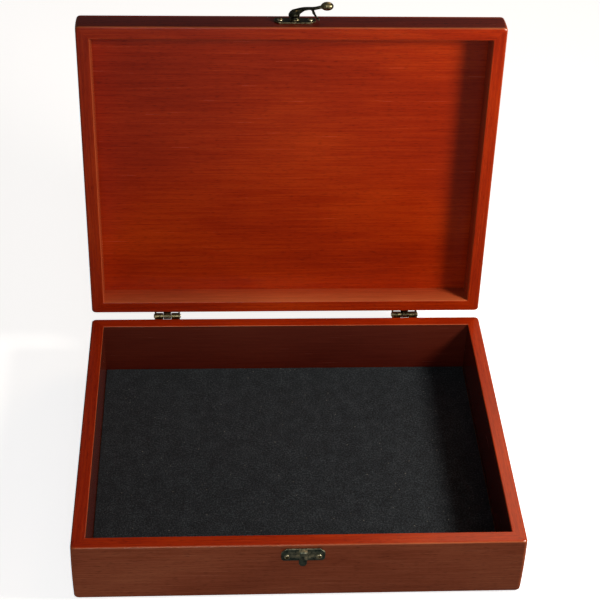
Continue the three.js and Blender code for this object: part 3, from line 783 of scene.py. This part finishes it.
rivet = {"sides": 32, "headRadius": 2.3 * mm, "headHeight": 1.1 * mm, "seat": 7.1 * mm,
         "shank": 0.95 * mm, "foot": 2 * mm}


def latchRivet():
    bpy.ops.mesh.primitive_uv_sphere_add(
        segments=rivet["sides"], ring_count=16, radius=rivet["headRadius"])
    piece = newest("latchRivet")
    slicePiece(piece, (0, 0, 0), (0, 0, -1), clear=True)
    pick(piece, "vertex", lambda place: True)
    flattening = rivet["headHeight"] / rivet["headRadius"]
    bpy.ops.transform.resize(value=(1, 1, flattening), center_override=(0, 0, 0))
    bpy.ops.transform.translate(value=(0, 0, rivet["seat"]))
    pick(piece, "face", lambda centre, normal: normal.z < -0.99)
    bpy.ops.mesh.inset(thickness=rivet["headRadius"] - rivet["shank"])
    bpy.ops.mesh.extrude_region_move(
        TRANSFORM_OT_translate={"value": (0, 0, -rivet["seat"] - rivet["foot"])})
    bpy.ops.object.mode_set(mode="OBJECT")
    storeShare(piece, "wearAndSheen", lambda place, normal: 0.4 * normal.z)
    shade(piece)
    placeBy(piece, armPlace)
    finishPiece(piece, "lid", "latch_rivet", antiqueBrass)


arm = {
    "bossBottom": 1.3 * mm,
    "bossLine": [  # radius and height in mm
        (3.7, 0), (3.7, 0.9), (3.1, 1.5), (3.0, 2.4), (3.4, 3.6), (2.9, 5.4)],
    "strapLine": [  # distance from the pivot, height, thickness and width in mm
        (-4.6, 4.3, 1.4, 3.2), (-3.6, 5.1, 2.6, 5.2), (-1.8, 5.9, 3.4, 6.2), (0.6, 6.4, 3.6, 6.2),
        (2.6, 7.3, 3.4, 5.2), (4.4, 8.3, 2.7, 3.9), (6.4, 9.1, 1.9, 3.1), (9, 9.45, 1.5, 2.8),
        (11.5, 9.4, 1.6, 2.7), (14, 9.6, 1.7, 2.6), (17, 10.3, 1.7, 2.6), (19.5, 10.9, 2.0, 2.8),
        (22.1, 11.1, 2.2, 2.8)],
    "toothLine": [  # height, distance from the pivot, thickness and width in mm
        (9.2, 11.9, 2.8, 2.4), (7.6, 12.3, 1.6, 2.0), (6.2, 12.9, 2.1, 2.2), (4.8, 13.6, 1.5, 1.9),
        (3, 14.9, 1.5, 1.8), (1.55, 16.3, 1.4, 1.7)],
    "ball": (4.5, 3.08, 3.08), "ballPlace": Vector((22.1, 0, 11.15)) * mm,
    "rivetSpace": (2.55 * mm, 6.95 * mm),  # radius and floor of the space for the rivet's head
    "clawReach": 2.6 * mm, "clawHeight": 1 * mm, "clawHalf": 0.7 * mm,
    "voxel": 0.2 * mm, "bore": 1.1 * mm, "boreTop": 5.6 * mm, "cutTop": 14 * mm,
    "ballWear": (1.25, 5 * mm), "footWearAndSheen": 1.2 * mm,  # worn round the ball; the boss's foot is paler, partly worn, partly a painted highlight
}


def boss():  # a turned cone that flares at its foot
    foot = arm["bossLine"][0]
    bpy.ops.mesh.primitive_circle_add(vertices=48, radius=foot[0] * mm, fill_type="NGON",
                                      location=(0, 0, arm["bossBottom"]))
    piece = newest("boss")
    pick(piece, "face", lambda centre, normal: True)
    for (lastRadius, lastHeight), (radius, height) in zip(arm["bossLine"], arm["bossLine"][1:]):
        bpy.ops.mesh.extrude_region_move(
            TRANSFORM_OT_translate={"value": (0, 0, (height - lastHeight) * mm)})
        share = radius / lastRadius
        bpy.ops.transform.resize(value=(share, share, 1), center_override=(0, 0, 0))
    bpy.ops.mesh.select_all(action="SELECT")
    bpy.ops.mesh.normals_make_consistent(inside=False)
    bpy.ops.object.mode_set(mode="OBJECT")
    return piece


def strap():  # a bar cut across at each station, and each cut moved and sized
    line = arm["strapLine"]
    half = 0.5 * mm  # a bar 1 mm thick, so that each size in the line is its own scale
    piece = block("strap", (line[0][0] * mm, -half, -half), (line[-1][0] * mm, half, half))
    for x, *_ in line[1:-1]:
        slicePiece(piece, (x * mm, 0, 0), (1, 0, 0))
    for x, z, thickness, width in line:
        pick(piece, "vertex", lambda place: abs(place.x - x * mm) < tiny)
        bpy.ops.transform.resize(value=(1, width, thickness), center_override=(x * mm, 0, 0))
        bpy.ops.transform.translate(value=(0, 0, z * mm))
    bpy.ops.object.mode_set(mode="OBJECT")
    return piece


def tooth():  # the same, standing up, with the claw at its foot
    line = arm["toothLine"]
    half = 0.5 * mm
    piece = block("tooth", (-half, -half, line[-1][0] * mm), (half, half, line[0][0] * mm))
    for z, *_ in line[1:-1]:
        slicePiece(piece, (0, 0, z * mm), (0, 0, 1))
    for z, x, thickness, width in line:
        pick(piece, "vertex", lambda place: abs(place.z - z * mm) < tiny)
        bpy.ops.transform.resize(value=(thickness, width, 1), center_override=(0, 0, z * mm))
        bpy.ops.transform.translate(value=(x * mm, 0, 0))
    bpy.ops.object.mode_set(mode="OBJECT")
    z, x = line[-1][:2]
    claw = block("claw", (x * mm - arm["clawHalf"], -arm["clawReach"], z * mm),
                 (x * mm + arm["clawHalf"], 0, z * mm + arm["clawHeight"]))
    combine(piece, claw, "UNION")
    return piece


def latchArm():
    piece = strap()
    piece.name = piece.data.name = "latchLever"
    combine(piece, boss(), "UNION")
    combine(piece, tooth(), "UNION")
    bpy.ops.mesh.primitive_uv_sphere_add(segments=32, ring_count=20, radius=mm,
                                         location=arm["ballPlace"])
    combine(piece, newest("ball", arm["ball"]), "UNION")
    applyModifier(piece, "REMESH", mode="VOXEL", voxel_size=arm["voxel"])  # melts the joins, as if cast
    applyModifier(piece, "SMOOTH", factor=0.5, iterations=5)
    bore = rod("bore", arm["bore"], (0, 0, 0), (0, 0, arm["boreTop"]), 24)
    combine(piece, bore, "DIFFERENCE")
    seatRadius, seatFloor = arm["rivetSpace"]
    seat = rod("rivetSeat", seatRadius, (0, 0, seatFloor), (0, 0, arm["cutTop"]), 32)
    combine(piece, seat, "DIFFERENCE")
    onlyThis(piece)
    bpy.ops.object.shade_smooth()

    def wearAndSheenShare(place, normal):
        most, fade = arm["ballWear"]
        onBall = most - (place - arm["ballPlace"]).length / fade
        # the boss's foot painted paler: wear and a painted highlight
        atFoot = 1 - (place.z - arm["bossBottom"]) / arm["footWearAndSheen"]
        return max(onBall, atFoot)

    storeShare(piece, "wearAndSheen", wearAndSheenShare)
    placeBy(piece, armPlace)
    finishPiece(piece, "latch_lever", "latch_lever", antiqueBrass)


latchArm()
latchRivet()
print("latch plates and rivet made")


# Hinges: modelled on the pin's axis with the lid shut, the wood on the -Y side

hinge = {
    "leaf": 0.9 * mm, "corner": 1.1 * mm, "edge": 0.16 * mm,
    "bore": 1.2 * mm, "pin": 1.1 * mm,
    "headRadius": 1.6 * mm, "headGap": 0.1 * mm, "headThickness": 0.5 * mm, "headRound": 0.35 * mm,
    "middleHalf": 2.9 * mm, "sideGap": 0.3 * mm, "clearance": 0.5 * mm,
    "overlap": 0.3 * mm, "space": 0.05 * mm,  # between parts that are joined, and that only meet
    "earInset": 0.15 * mm, "earDepth": 0.5 * mm, "earFoot": 1.3,  # foot: share of the leaf's thickness
    "rollAngle": 303, "rollSteps": 30, "holeSpace": 0.1 * mm,
    "earWidth": 1.3 * mm, "shelfTop": 1.13 * mm, "shelfBottom": -0.6 * mm,
}
leafLow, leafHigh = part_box("base_hinge_leaf_left")
hingeHalf = (leafHigh.x - leafLow.x) / 2
barrel = hingeAxis.y - leafLow.y  # its radius, and how far the wood is from the axis
leafLength = hingeAxis.z - leafLow.z
leafStart = barrel + hinge["clearance"]
screwMiddle = middleOf(*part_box("base_hinge_screw_left_1"))
screwFromAxis = abs(screwMiddle.z - hingeAxis.z)
screwFromMiddle = abs(screwMiddle.x - middleOf(leafLow, leafHigh).x)


def rolledKnuckle(start, end, up):  # the leaf's metal rolled round the pin, with its seam by the leaf
    wall = barrel - hinge["bore"]
    middle = (start + end) / 2
    bpy.ops.mesh.primitive_plane_add(size=1, location=(middle, -barrel + wall / 2, 0))
    roll = newest("knuckle", (end - start, wall, 1))
    pick(roll, "face", lambda centre, normal: True)
    bpy.ops.mesh.spin(steps=hinge["rollSteps"], angle=math.radians(hinge["rollAngle"]),
                      center=(0, 0, 0), axis=(-up, 0, 0))
    bpy.ops.mesh.select_all(action="SELECT")
    bpy.ops.mesh.normals_make_consistent(inside=False)
    bpy.ops.object.mode_set(mode="OBJECT")

    def onRimOfRoll(a, b):
        return abs(a.x - b.x) < tiny and min(a.yz.length, b.yz.length) > barrel - 0.1 * mm

    roundEdges(roll, onRimOfRoll, hinge["edge"], 2)
    return roll


def hingePlate(name, up):  # the flat of a leaf; up is 1 for the base leaf, which hangs below the pin
    low, high = sorted((-up * leafStart, -up * leafLength))
    plate = block(name, (-hingeHalf, -barrel, low), (hingeHalf, -barrel + hinge["leaf"], high))

    def farCorner(a, b):
        farZ = -up * leafLength
        return abs(a.x - b.x) < tiny and abs(a.z - farZ) < tiny and abs(b.z - farZ) < tiny

    roundEdges(plate, farCorner, hinge["corner"], 5)
    return plate


def finishLeaf(plate, up):
    back = -barrel + hinge["leaf"]
    for sign in (-1, 1):
        place = Vector((sign * screwFromMiddle, 0, -up * screwFromAxis))
        reach = Vector((0, barrel + hinge["leaf"], 0))
        hole = rod("screwHole", screw["shank"] + hinge["holeSpace"], place - reach, place + reach, 20)
        combine(plate, hole, "DIFFERENCE")

    def wearAndSheenShare(place, normal):  # most on what stands out furthest from the wood
        return max(0.3 * leanOfSurface(place, normal), (place.y - back) / (2 * barrel))

    storeShare(plate, "wearAndSheen", wearAndSheenShare)
    shade(plate)
    return plate


def strip(start, end, up):  # joins a knuckle to its leaf
    low, high = sorted((up * hinge["space"], -up * (leafStart + hinge["overlap"])))
    back = tiny - barrel  # off the leaf's own back, so that no two faces lie in one plane
    return block("strip", (start, back, low), (end, back + hinge["leaf"], high))


def stopEar(start, end):  # round where the lid leaf swings past, with the shelf that it stops on behind
    reach = leafHigh.y - hingeAxis.y
    ear = rod("ear", barrel - hinge["earInset"], (start, 0, 0), (end, 0, 0), 40)
    foot = block("foot", (start, 2 * tiny - barrel, -leafStart - hinge["overlap"]),
                 (end, -barrel + hinge["earFoot"] * hinge["leaf"], 0))
    combine(ear, foot, "UNION")
    shelf = block("shelf", (start, -hinge["earDepth"], -barrel), (end, reach, hinge["shelfTop"]))
    slicePiece(shelf, (0, 0, -barrel), (0, barrel + hinge["shelfBottom"], -reach), clear=True)
    roundEdges(shelf, lambda a, b: a.y > reach - tiny and b.y > reach - tiny, hinge["edge"], 2)
    combine(ear, shelf, "UNION")
    past = hinge["earWidth"]
    bore = rod("pinBore", hinge["bore"] + hinge["space"], (start - past, 0, 0), (end + past, 0, 0), 32)
    combine(ear, bore, "DIFFERENCE")
    return ear


def baseLeaf():
    plate = hingePlate("baseLeafPattern", 1)
    earStart = hingeHalf - hinge["earWidth"]
    knuckleStart = hinge["middleHalf"] + hinge["sideGap"]
    for sign in (-1, 1):
        knuckleEnds = sorted((sign * knuckleStart, sign * (earStart + hinge["space"])))
        combine(plate, strip(*knuckleEnds, 1), "UNION")
        combine(plate, rolledKnuckle(*knuckleEnds, 1), "UNION")
        ear = stopEar(*sorted((sign * (hingeHalf - tiny), sign * earStart)))
        combine(plate, ear, "UNION")
    return finishLeaf(plate, 1)


def lidLeaf():
    plate = hingePlate("lidLeafPattern", -1)
    half = hinge["middleHalf"]
    combine(plate, strip(-half, half, -1), "UNION")
    combine(plate, rolledKnuckle(-half, half, -1), "UNION")
    return finishLeaf(plate, -1)


def hingePin():  # a bar whose ends are spread into small domed heads
    end = hingeHalf + hinge["headGap"]
    tip = end + hinge["headThickness"]
    pin = rod("pinPattern", hinge["pin"], (-end, 0, 0), (end, 0, 0), 28)
    pick(pin, "face", lambda centre, normal: abs(normal.x) > 0.99)
    bpy.ops.mesh.inset(thickness=0.2 * mm)
    bpy.ops.object.mode_set(mode="OBJECT")
    for sign in (-1, 1):
        tipX = sign * tip
        head = rod("pinHead", hinge["headRadius"], (sign * end, 0, 0), (tipX, 0, 0), 28)
        roundEdges(head, lambda a, b: abs(a.x - tipX) < tiny and abs(b.x - tipX) < tiny,
                   hinge["headRound"], 4)
        combine(pin, head, "UNION")
    storeShare(pin, "wearAndSheen", leanOfSurface)
    shade(pin)
    return pin


for pattern, name, node, body, place in (
        (baseLeaf(), "baseHingeLeaf", "base_hinge_leaf", "base", asPlaced),
        (lidLeaf(), "lidHingeLeaf", "lid_hinge_leaf", "lid", lidOpened),
        (hingePin(), "hingePin", "hinge_pin", "base", asPlaced)):
    for side in ("left", "right"):
        middle = middleOf(*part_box(f"base_hinge_leaf_{side}"))
        stand = Matrix.Translation((middle.x, hingeAxis.y, hingeAxis.z))
        piece = copyOf(pattern, name + side.title())
        placeBy(piece, place @ stand)
        finishPiece(piece, body, f"{node}_{side}", antiqueBrass)
    remove(pattern)
print("hinges made")


# Stage

view = {
    "place": Vector((-53.4766, -786.0671, 780.6964)) * mm,
    "turnRight": 0.0701, "lookDown": 0.6672, "roll": 0.0372,  # radians
    "lens": 89.95, "nearest": 0.01, "farthest": 20,
}


def makeCamera():
    yaw, pitch, roll = view["turnRight"], view["lookDown"], view["roll"]
    forward = Vector((math.sin(yaw) * math.cos(pitch), math.cos(yaw) * math.cos(pitch),
                      -math.sin(pitch)))
    right = Vector((math.cos(yaw), -math.sin(yaw), 0))
    up = right.cross(forward)
    rolledRight = math.cos(roll) * right + math.sin(roll) * up
    rolledUp = -math.sin(roll) * right + math.cos(roll) * up
    data = bpy.data.cameras.new("camera")
    data.lens = view["lens"]
    data.clip_start = view["nearest"]
    data.clip_end = view["farthest"]
    camera = bpy.data.objects.new("camera", data)
    bpy.context.scene.collection.objects.link(camera)
    turn = Matrix((rolledRight, rolledUp, -forward)).transposed().to_4x4()
    camera.matrix_world = Matrix.Translation(view["place"]) @ turn
    bpy.context.scene.camera = camera


paper = {"floorSize": 12, "floorPlace": (0, 0, -0.2 * mm), "wallRadius": 5, "wallHeight": 8,
         "floorGlow": 0.8, "wallGlow": 0.95}


def paperMaterial(name, glow):  # matt white studio paper that glows, so shadows on it are faint
    material, _, shader = newMaterial(name)
    shader.inputs["Base Color"].default_value = linear("f4f4f4")
    shader.inputs["Roughness"].default_value = 0.9
    shader.inputs["Specular IOR Level"].default_value = 0.1
    shader.inputs["Emission Color"].default_value = linear("ffffff")
    shader.inputs["Emission Strength"].default_value = glow
    return material


def makeFloor():  # the box doesn't mirror the paper: the lacquer mirrors a dim room
    bpy.ops.mesh.primitive_plane_add(size=paper["floorSize"], location=paper["floorPlace"])
    floor = newest("studioFloor")
    floor.data.materials.append(paperMaterial("paleStudioPaper", paper["floorGlow"]))
    bpy.ops.mesh.primitive_cylinder_add(radius=paper["wallRadius"], depth=paper["wallHeight"],
                                        vertices=96, end_fill_type="NOTHING")
    wall = newest("studioWall")
    wall.data.materials.append(paperMaterial("paleStudioWall", paper["wallGlow"]))
    wall.visible_shadow = False
    for piece in (floor, wall):
        piece.visible_glossy = False
        piece.visible_diffuse = False


lights = {  # place and width in metres, power in watts; all but the fill show in the lacquer
    "keyLamp": {"place": (0.4406, -0.1141, 0.43), "width": 0.15, "power": 2.7, "colour": "fff6ea"},
    "frontFill": {"place": (0, -1, 0.12), "width": 0.7, "power": 0.95, "colour": "ffffff"},
    "frontGlint": {"place": (-0.12, -1, 0.3), "width": 0.3, "power": 0.7, "colour": "ffffff"},
    "highGlint": {"place": (-0.05, -0.9, 0.95), "width": 0.4, "power": 0.7, "colour": "ffffff"},
    "backCard": {"place": (0.47, 0.82, 1.05), "width": 0.5, "power": 1.5, "colour": "ffd6aa"},
}
studio = {"aim": Vector((0, 0, 0.1)), "roomGlow": 0.07}


def makeLights():
    for name, light in lights.items():
        data = bpy.data.lights.new(name, "AREA")
        data.shape = "DISK"
        data.size = light["width"]
        data.energy = light["power"]
        data.color = linear(light["colour"])[:3]
        lamp = bpy.data.objects.new(name, data)
        bpy.context.scene.collection.objects.link(lamp)
        lamp.location = light["place"]
        lamp.visible_glossy = name != "frontFill"  # it would veil the red of the lacquered panel
        lamp.rotation_mode = "QUATERNION"
        lamp.rotation_quaternion = (lamp.location - studio["aim"]).to_track_quat("Z", "Y")
    world = bpy.data.worlds.new("studioWorld")
    bpy.context.scene.world = world
    world.use_nodes = True
    world.node_tree.nodes["Background"].inputs["Color"].default_value = linear("ffffff")
    world.node_tree.nodes["Background"].inputs["Strength"].default_value = studio["roomGlow"]


makeCamera()
makeFloor()
makeLights()
bpy.context.scene.view_settings.view_transform = "Standard"
print("camera, floor and lights placed")
